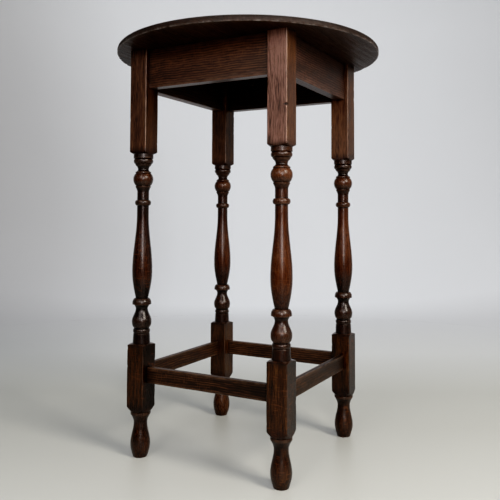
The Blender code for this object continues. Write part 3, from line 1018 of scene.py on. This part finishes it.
# Layers of the wood: waves to the metre along and across the grain, detail, roughness, levels
FIBRE = ((50, 600, 600), 3.0, 0.6)
HAIR = ((70, 1300, 1300), 2.0, 0.6)
BAND = ((7, 120, 120), 3.0, 0.55)
STAIN = ((9, 18, 18), 3.0)
FLECKS = ((60, 800, 800), 1.0, 0.5, (0.60, 0.70))
PORES = ((120, 2600, 2600), 1.0, 0.5, (0.56, 0.66))
FURROWS = ((11, 150, 150), 3.0, 0.65)
RAYS = ((480, 95, 95), 1.0, 0.5, (0.60, 0.68))
RUBBING = ((60, 160, 160), 4.0, 0.6, (0.32, 0.62))
SOOT = ((80, 80, 80), 3.0, 0.5, (0.2, 0.6, 0.6, 1.0))

# Sway of the board, and the finer sway of its rings, whose reach each wood sets
BOARD_SWAY = (5, 26, 26)
BOARD_SWAY_REACH = 0.010
RING_SWAY = (30, 20, 20)

# Levels of stain, dryness and figure between which rays, furrows, bleaching (partly a painted sheen) and
# relief grow
RAY_STAIN_LEVELS = (0.45, 0.60)
ROUGH_LEVELS = (0.45, 0.8)
BLEACH_LEVELS = (0.3, 0.75)
DRY_RELIEF_LEVELS = (0.3, 1.0)

# Share of a ring that is early wood, how early it is where pores are full, and the pores of late wood
EARLY_WOOD = 0.55
FULL_PORES = 0.8
LATE_PORES = 0.25

# Figure at which the dark, middle and light colour stand, and the share of each later coat
COLOUR_STOPS = (0.15, 0.5, 0.95)
FIGURE_MIDDLE = 1.25
FIGURE_RING_SHARE = 0.3
FIGURE_START = 0.25
RAY_COAT = 0.42
WORN_COAT = 0.7
DRY_COAT = 0.25
GRIME_COAT = 0.88

# Gloss that the layers add on average, the relief left on turned wood, and the depth of the grain
LAYERED_GLOSS = 0.16
TURNED_RELIEF = 0.14
FURROW_RELIEF = 16.0
RELIEF_STRENGTH = 0.2
RELIEF_DEPTH = 0.0003
WAX_IOR = 1.5


def oak_layers(nodes, ring_width, sway):
    """What the mesh stores about its wood, and the layers of its grain."""
    wood = SimpleNamespace()
    wood.place = nodes.stored("grain")
    wood.wear, wood.grime, wood.dry = nodes.parts(nodes.stored("age"))
    wood.tone, wood.fade, wood.show = nodes.parts(nodes.stored("look"))

    # Growth rings round the pith, swaying slowly along the board
    bent = nodes.swayed(nodes.swayed(wood.place, BOARD_SWAY, BOARD_SWAY_REACH), RING_SWAY, sway)
    radius = nodes.add("VectorMath", nodes.stretched(bent, (0, 1, 1)), operation="LENGTH").outputs["Value"]
    ring = nodes.add("Math", nodes.product(radius, 1 / ring_width), operation="FRACT").outputs[0]
    wood.early = nodes.ranged(ring, 0.0, EARLY_WOOD, 1.0, 0.0)

    # Fibres, pores and furrows along the grain, and rays across it
    wood.fibre, wood.hair, wood.band = (nodes.layer(bent, *layer) for layer in (FIBRE, HAIR, BAND))
    wood.stain = nodes.layer(wood.place, *STAIN)
    wood.flecks = nodes.layer(bent, *FLECKS)
    in_rings = nodes.ranged(wood.early, 0.0, FULL_PORES, LATE_PORES, 1.0)
    wood.pores = nodes.product(nodes.layer(bent, *PORES), in_rings)
    wood.rough = nodes.ranged(wood.dry, *ROUGH_LEVELS, 0.0, 0.8)
    wood.furrows = nodes.product(nodes.layer(bent, *FURROWS), wood.rough)
    wood.rays = nodes.product(nodes.layer(wood.place, *RAYS), nodes.ranged(wood.stain, *RAY_STAIN_LEVELS))
    # Rubbing with painted highlights, and grime with painted shade, each broken up by noise
    wood.rubbing = nodes.product(wood.wear, nodes.layer(wood.place, *RUBBING))
    wood.soot = nodes.product(wood.grime, nodes.layer(wood.place, *SOOT))
    return wood


def oak_colour(nodes, wood, dark, middle, light, worn, ring_depth, golden):
    """Stained figure, faded with some painted sheen and pitted, then rubbed with painted highlights, dry, and
    grimy with painted shade in turn.
    """
    grain = nodes.weighted((wood.early, -ring_depth), (wood.fibre, 1.1), (wood.hair, 0.8), (wood.band, 0.6))
    figure = nodes.product(nodes.sum(grain, ring_depth * FIGURE_RING_SHARE - FIGURE_MIDDLE), wood.show)
    figure = nodes.sum(figure, nodes.product(wood.stain, 0.5))
    figure = nodes.sum(nodes.sum(figure, wood.tone), FIGURE_START)
    ramp = nodes.add("ValToRGB", figure)
    stops = ramp.color_ramp.elements
    stops[0].position, stops[1].position = COLOUR_STOPS[0], COLOUR_STOPS[2]
    stops[0].color, stops[1].color = dark, light
    stops.new(COLOUR_STOPS[1]).color = middle
    warmed = nodes.add("HueSaturation", nodes.ranged(wood.show, TURNED_FIGURE, 1.0, 0.5, 0.5 + golden))
    nodes.put(warmed.inputs["Color"], ramp.outputs["Color"])
    bleached = nodes.product(wood.fade, nodes.ranged(figure, *BLEACH_LEVELS, 0.1, 1.2))
    colour = nodes.mixed(bleached, warmed.outputs["Color"], FADED_OAK)
    pitting = nodes.product(nodes.sum(wood.pores, wood.flecks), nodes.ranged(wood.fade, 0.0, 1.0, 0.6, 0.4))
    colour = nodes.mixed(nodes.product(pitting, wood.show), colour, dark)
    colour = nodes.mixed(nodes.product(wood.rays, RAY_COAT), colour, light)
    colour = nodes.mixed(nodes.product(wood.rubbing, WORN_COAT), colour, worn)
    colour = nodes.mixed(nodes.product(wood.dry, DRY_COAT), colour, DRY_OAK)
    return nodes.mixed(nodes.product(wood.soot, GRIME_COAT), colour, OLD_GRIME)


def oak_gloss(nodes, wood, roughness):
    """Waxed where it is smooth, duller where it is dry, dirty or open."""
    gloss = nodes.weighted(
        (nodes.product(wood.fibre, wood.show), 0.20), (wood.stain, 0.12), (wood.soot, 0.05), (wood.dry, 0.20),
        (wood.pores, 0.15), (wood.rubbing, -0.05), (wood.furrows, 0.80), (wood.rough, -0.40),
    )
    return nodes.sum(gloss, roughness - LAYERED_GLOSS)


def oak_relief(nodes, wood):
    """Fine relief of the grain, nearly smooth on turned wood and furrowed on dry wood."""
    relief = nodes.weighted((wood.pores, -1.0), (wood.fibre, 0.5), (wood.early, -0.25), (wood.flecks, -0.5))
    relief = nodes.product(relief, nodes.ranged(wood.show, TURNED_FIGURE, 1.0, TURNED_RELIEF, 1.0))
    relief = nodes.product(relief, nodes.ranged(wood.dry, *DRY_RELIEF_LEVELS, 1.0, 1.6))
    bump = nodes.add("Bump")
    nodes.put(bump.inputs["Strength"], RELIEF_STRENGTH)
    nodes.put(bump.inputs["Distance"], RELIEF_DEPTH)
    nodes.put(bump.inputs["Height"], nodes.sum(relief, nodes.product(wood.furrows, FURROW_RELIEF)))
    return bump.outputs[0]


def oak(name, dark, middle, light, worn, ring_width, ring_depth, sway, golden, roughness, specular):
    """Dark stained oak, rubbed on its edges and grimy in its hollows, with painted highlights in the rubbing
    and painted shade in the grime.
    """
    nodes = Nodes(name)
    wood = oak_layers(nodes, ring_width, sway)
    nodes.set(
        Base_Color=oak_colour(nodes, wood, dark, middle, light, worn, ring_depth, golden),
        Roughness=oak_gloss(nodes, wood, roughness),
        Normal=oak_relief(nodes, wood),
        Specular_IOR_Level=specular,
        IOR=WAX_IOR,
    )
    return nodes.material


OLD_STEEL = shade(0.07, 0.06, 0.052)
TARNISH = shade(0.03, 0.016, 0.010)
TARNISH_PATCHES = ((420, 420, 420), 4.0, 0.6, (0.4, 0.65))
SCRATCHES = ((4000, 900, 900), 2.0, 0.5, (0.3, 0.7, 0.4, 0.6))


def steel(name):
    """Dull old screw steel with brown tarnish."""
    nodes = Nodes(name)
    place = nodes.add("TexCoord").outputs["Object"]
    patches = nodes.layer(place, *TARNISH_PATCHES)
    scratches = nodes.layer(place, *SCRATCHES)
    nodes.set(Base_Color=nodes.mixed(patches, OLD_STEEL, TARNISH))
    nodes.set(Roughness=nodes.sum(nodes.product(patches, 0.3), scratches))
    nodes.set(Metallic=nodes.ranged(patches, 0.0, 1.0, 1.0, 0.45))
    return nodes.material


# Studio

# Camera, fitted to the picture, which is taken as 500 pixels square
IMAGE_SIDE = 500
FOCAL_PIXELS = 643.9
PRINCIPAL_ROW = 187.4
SENSOR_WIDTH = 36
CAMERA_AZIMUTH = math.radians(28.706)
CAMERA_PITCH = math.radians(2.741)
CAMERA_ROLL = math.radians(0.2145)
CAMERA_DISTANCE = 1.1708
CAMERA_HEIGHT = 0.4048
CAMERA_ASIDE = 0.00435

# Round floor that rises to a wall, laid out by what lies aside and ahead of the camera
FLOOR_RADIUS = 1.55
COVE_RADIUS = 1.6
WALL_HEIGHT = 3.0
BACK_WALL_SPAN = math.radians(210)
STAGE_SIDES = 96
COVE_STEPS = 24
STAGE_ASIDE = (math.cos(CAMERA_AZIMUTH), math.sin(CAMERA_AZIMUTH), 0)
STAGE_AHEAD = (-math.sin(CAMERA_AZIMUTH), math.cos(CAMERA_AZIMUTH), 0)

# Paper: shades that its mottle mixes, where floor passes to wall, and where its right end darkens with
# painted shade
MOTTLE = ((1.3, 1.3, 1.3), 3.0)
FLOOR_SHADES = (shade(0.457, 0.482, 0.462), shade(0.497, 0.522, 0.502))
WALL_SHADES = (shade(0.50, 0.515, 0.535), shade(0.54, 0.555, 0.575))
WALL_START = (0.4, 1.4)
END_SHADE = shade(0.05, 0.05, 0.05)
END_PLACES = (1.6, 2.3)
END_SHARE = 0.3
PAPER_GLOSS_LEVELS = (0.3, 1.5)
PAPER_ROUGHNESS = (0.36, 0.70)

# Painted light: glow of the paper across the picture, and its share from the camera's side to the wall
GLOW_COLOUR = shade(0.96, 1.0, 1.05)
GLOW_ACROSS = (
    (-2.4, 0.05), (-1.57, 0.075), (-1.24, 0.135), (-0.95, 0.22), (-0.52, 0.34), (-0.07, 0.385),
    (0.39, 0.385), (0.82, 0.36), (1.17, 0.33), (1.57, 0.27), (2.2, 0.15),
)
GLOW_ALONG = (
    (-1.0, 0.3), (-0.24, 0.18), (-0.08, 0.1), (0.1, 0.01), (0.35, 0.0),
    (0.8, 0.42), (1.4, 0.56), (1.75, 0.93), (3.2, 1.0),
)

# How far the left side of the glow moves outwards from the floor up the wall
GLOW_LEAN = (-0.30, 0.40)
GLOW_LEAN_HEIGHTS = (0.0, 2.0)
GLOW_LEFT_SIDE = (-0.6, 0.0)

# What a light falls on: all there is, the gloss of the table alone, or its bare colour alone
ALL, GLOSS, COLOUR = "all", "gloss", "colour"

# Soft lights: name, azimuth in degrees, height, distance, width, tall, watts, colour, what it falls on
LIGHTS = (
    ("softbox_left", 4, 1.55, 1.9, 0.55, 1.1, 10.5, (1.0, 0.93, 0.88), ALL),
    ("softbox_right", 74, 1.55, 1.9, 0.7, 1.1, 48, (1.0, 0.90, 0.80), ALL),
    ("softbox_fill", 112, 0.8, 2.0, 1.0, 1.3, 2.4, (1.0, 0.92, 0.86), ALL),
    ("softbox_strip", 34, 0.82, 2.0, 0.30, 0.80, 15, (1.0, 0.90, 0.86), ALL),
    ("softbox_sheen", 32, 0.92, 1.5, 1.5, 0.8, 12, (1.0, 0.90, 0.90), GLOSS),
    ("softbox_back", 208, 1.1, 1.9, 1.3, 1.3, 48, (1.0, 0.94, 0.90), COLOUR),
    ("softbox_panel", -19, 0.95, 1.9, 0.5, 0.8, 2.4, (1.0, 0.92, 0.88), ALL),
    ("softbox_above", 60, 2.6, 0.3, 2.4, 2.4, 20, (1.0, 1.0, 1.0), ALL),
)
SKY_COLOUR = shade(0.95, 0.97, 1.0)
SKY_STRENGTH = 0.05

# Response of the film to light: shadows fall away faster than in even steps
FILM_TOE = ((0.013, 0.002), (0.045, 0.024), (0.13, 0.115), (0.30, 0.30))
ALL_CHANNELS = 3


def studio_paper(name):
    """Pale paper with a faint mottle, glowing a little with painted light, most of all where it rises as a
    wall.
    """
    nodes = Nodes(name)
    place = nodes.add("TexCoord").outputs["Object"]
    mottle = nodes.layer(place, *MOTTLE)
    aside, ahead = nodes.dot(place, STAGE_ASIDE), nodes.dot(place, STAGE_AHEAD)
    rise = nodes.ranged(ahead, *WALL_START)
    colour = nodes.mixed(rise, nodes.mixed(mottle, *FLOOR_SHADES), nodes.mixed(mottle, *WALL_SHADES))
    # Painted shade on the paper's right end
    nodes.set(Base_Color=nodes.mixed(nodes.ranged(aside, *END_PLACES, 0.0, END_SHARE), colour, END_SHADE))
    nodes.set(Roughness=nodes.ranged(nodes.sum(mottle, rise), *PAPER_GLOSS_LEVELS, *PAPER_ROUGHNESS))
    lean = nodes.ranged(nodes.parts(place)["Z"], *GLOW_LEAN_HEIGHTS, *GLOW_LEAN)
    lean = nodes.product(lean, nodes.ranged(aside, *GLOW_LEFT_SIDE, 1.0, 0.0))
    across = nodes.levels(nodes.sum(aside, lean), GLOW_ACROSS)
    along = nodes.levels(ahead, GLOW_ALONG)
    # Painted light: emission of the paper itself
    nodes.set(Emission_Strength=nodes.product(across, along), Emission_Color=GLOW_COLOUR)
    return nodes.material


def staged(name, points, faces, surface):
    mesh = bpy.data.meshes.new(name)
    mesh.from_pydata(points, [], faces)
    mesh.materials.append(surface)
    mesh.shade_smooth()
    piece = bpy.data.objects.new(name, mesh)
    bpy.context.scene.collection.objects.link(piece)
    return piece


def wall(name, middle, span, surface):
    """Part of the round wall, which rises from the floor in a wide cove."""
    rings = []
    for step in range(COVE_STEPS + 1):
        across, along = round_in(step / COVE_STEPS)
        rings.append((FLOOR_RADIUS + COVE_RADIUS * along, COVE_RADIUS * across))
    rings.append((FLOOR_RADIUS + COVE_RADIUS, WALL_HEIGHT))
    points, faces = [], []
    for reach, height in rings:
        for side in range(STAGE_SIDES + 1):
            angle = middle + span * (side / STAGE_SIDES - 0.5)
            points.append((math.sin(angle) * reach, -math.cos(angle) * reach, height))
    row = STAGE_SIDES + 1
    for ring in range(len(rings) - 1):
        for side in range(STAGE_SIDES):
            low = ring * row + side
            faces.append((low, low + row, low + row + 1, low + 1))
    return staged(name, points, faces, surface)


def build_stage():
    """Round floor with a wall all round. The wall near the camera only shows in views from behind."""
    paper = studio_paper("studio_paper")
    angles = [side * 2 * math.pi / STAGE_SIDES for side in range(STAGE_SIDES)]
    rim = [(FLOOR_RADIUS * math.cos(angle), FLOOR_RADIUS * math.sin(angle), 0) for angle in angles]
    staged("studio_floor", rim, [tuple(range(STAGE_SIDES))], paper)
    wall("studio_wall_back", CAMERA_AZIMUTH + math.pi, BACK_WALL_SPAN, paper)
    near = wall("studio_wall_front", CAMERA_AZIMUTH, 2 * math.pi - BACK_WALL_SPAN, paper)
    near.visible_diffuse = near.visible_glossy = near.visible_shadow = False


def softbox(name, azimuth, height, distance, width, tall, power, colour):
    """Large soft light that faces the middle of the table."""
    lamp = bpy.data.lights.new(name, "AREA")
    lamp.shape = "RECTANGLE"
    lamp.size, lamp.size_y = width, tall
    lamp.energy = power
    lamp.color = colour
    place = Vector((math.sin(azimuth) * distance, -math.cos(azimuth) * distance, height))
    target = Vector((0, 0, LEG_LENGTH / 2))
    light = bpy.data.objects.new(name, lamp)
    light.location = place
    light.rotation_euler = (target - place).to_track_quat("-Z", "Y").to_euler()
    light.visible_camera = False
    bpy.context.scene.collection.objects.link(light)
    return light


def build_lights():
    table = bpy.data.collections.new("table_pieces")
    for piece in bpy.context.scene.objects:
        if piece.name.startswith("fine_"):
            table.objects.link(piece)
    for name, azimuth, *settings, falls_on in LIGHTS:
        light = softbox(name, math.radians(azimuth), *settings)
        light.visible_diffuse = falls_on != GLOSS
        light.visible_glossy = falls_on != COLOUR
        if falls_on != ALL:
            light.light_linking.receiver_collection = table
    world = bpy.data.worlds.new("studio_world")
    world.use_nodes = True
    background = world.node_tree.nodes["Background"]
    background.inputs["Color"].default_value = SKY_COLOUR
    background.inputs["Strength"].default_value = SKY_STRENGTH
    bpy.context.scene.world = world


def build_camera():
    """Camera at the picture's place, looking slightly up, with the frame shifted down."""
    aside, up, back = Vector(STAGE_ASIDE), Vector((0, 0, 1)), -Vector(STAGE_AHEAD)
    place = back * CAMERA_DISTANCE + up * CAMERA_HEIGHT + aside * CAMERA_ASIDE
    level = Matrix((aside, up, back)).transposed()
    turned = Matrix.Rotation(CAMERA_PITCH, 3, "X") @ Matrix.Rotation(CAMERA_ROLL, 3, "Z")
    lens = bpy.data.cameras.new("camera")
    lens.sensor_width = SENSOR_WIDTH
    lens.lens = FOCAL_PIXELS / IMAGE_SIDE * SENSOR_WIDTH
    lens.shift_y = (PRINCIPAL_ROW - IMAGE_SIDE / 2) / IMAGE_SIDE
    camera = bpy.data.objects.new("camera", lens)
    camera.matrix_world = Matrix.Translation(place) @ (level @ turned).to_4x4()
    bpy.context.scene.collection.objects.link(camera)
    bpy.context.scene.camera = camera


def set_response():
    settings = bpy.context.scene.view_settings
    settings.view_transform = "Standard"
    settings.use_curve_mapping = True
    curve = settings.curve_mapping.curves[ALL_CHANNELS]
    for place in FILM_TOE:
        curve.points.new(*place)
    settings.curve_mapping.update()


def build_table():
    leg_oak = oak(
        "fine_oak_leg",
        dark=shade(0.0045, 0.0014, 0.0006), middle=shade(0.036, 0.0108, 0.0035),
        light=shade(0.115, 0.041, 0.014), worn=shade(0.28, 0.18, 0.13),
        ring_width=2.6 * MM, ring_depth=0.14, sway=1.2 * MM, golden=0.014, roughness=0.29, specular=0.30,
    )
    apron_oak = oak(
        "fine_oak_apron",
        dark=shade(0.0025, 0.001, 0.0006), middle=shade(0.036, 0.0118, 0.0050),
        light=shade(0.115, 0.043, 0.017), worn=shade(0.14, 0.08, 0.055),
        ring_width=3.9 * MM, ring_depth=0.62, sway=4.0 * MM, golden=0.018, roughness=0.40, specular=0.36,
    )
    stretcher_oak = oak(
        "fine_oak_stretcher",
        dark=shade(0.0025, 0.001, 0.0006), middle=shade(0.016, 0.0062, 0.0027),
        light=shade(0.085, 0.037, 0.0155), worn=shade(0.11, 0.07, 0.048),
        ring_width=3.4 * MM, ring_depth=0.55, sway=2.5 * MM, golden=0.004, roughness=0.40, specular=0.26,
    )
    top_oak = oak(
        "fine_oak_top",
        dark=shade(0.003, 0.0013, 0.0008), middle=shade(0.014, 0.0055, 0.0030),
        light=shade(0.045, 0.020, 0.011), worn=shade(0.38, 0.35, 0.33),
        ring_width=3.6 * MM, ring_depth=0.35, sway=3.0 * MM, golden=0.0, roughness=0.36, specular=0.20,
    )
    build_legs(leg_oak)
    build_rails(apron_oak, stretcher_oak)
    build_top(top_oak)
    screw_steel = steel("fine_screw_steel")
    for name, node in frame["nodes"].items():
        if name.startswith("top_screw_"):
            node.material_slots[0].material = screw_steel


build_table()
build_stage()
build_lights()
build_camera()
set_response()
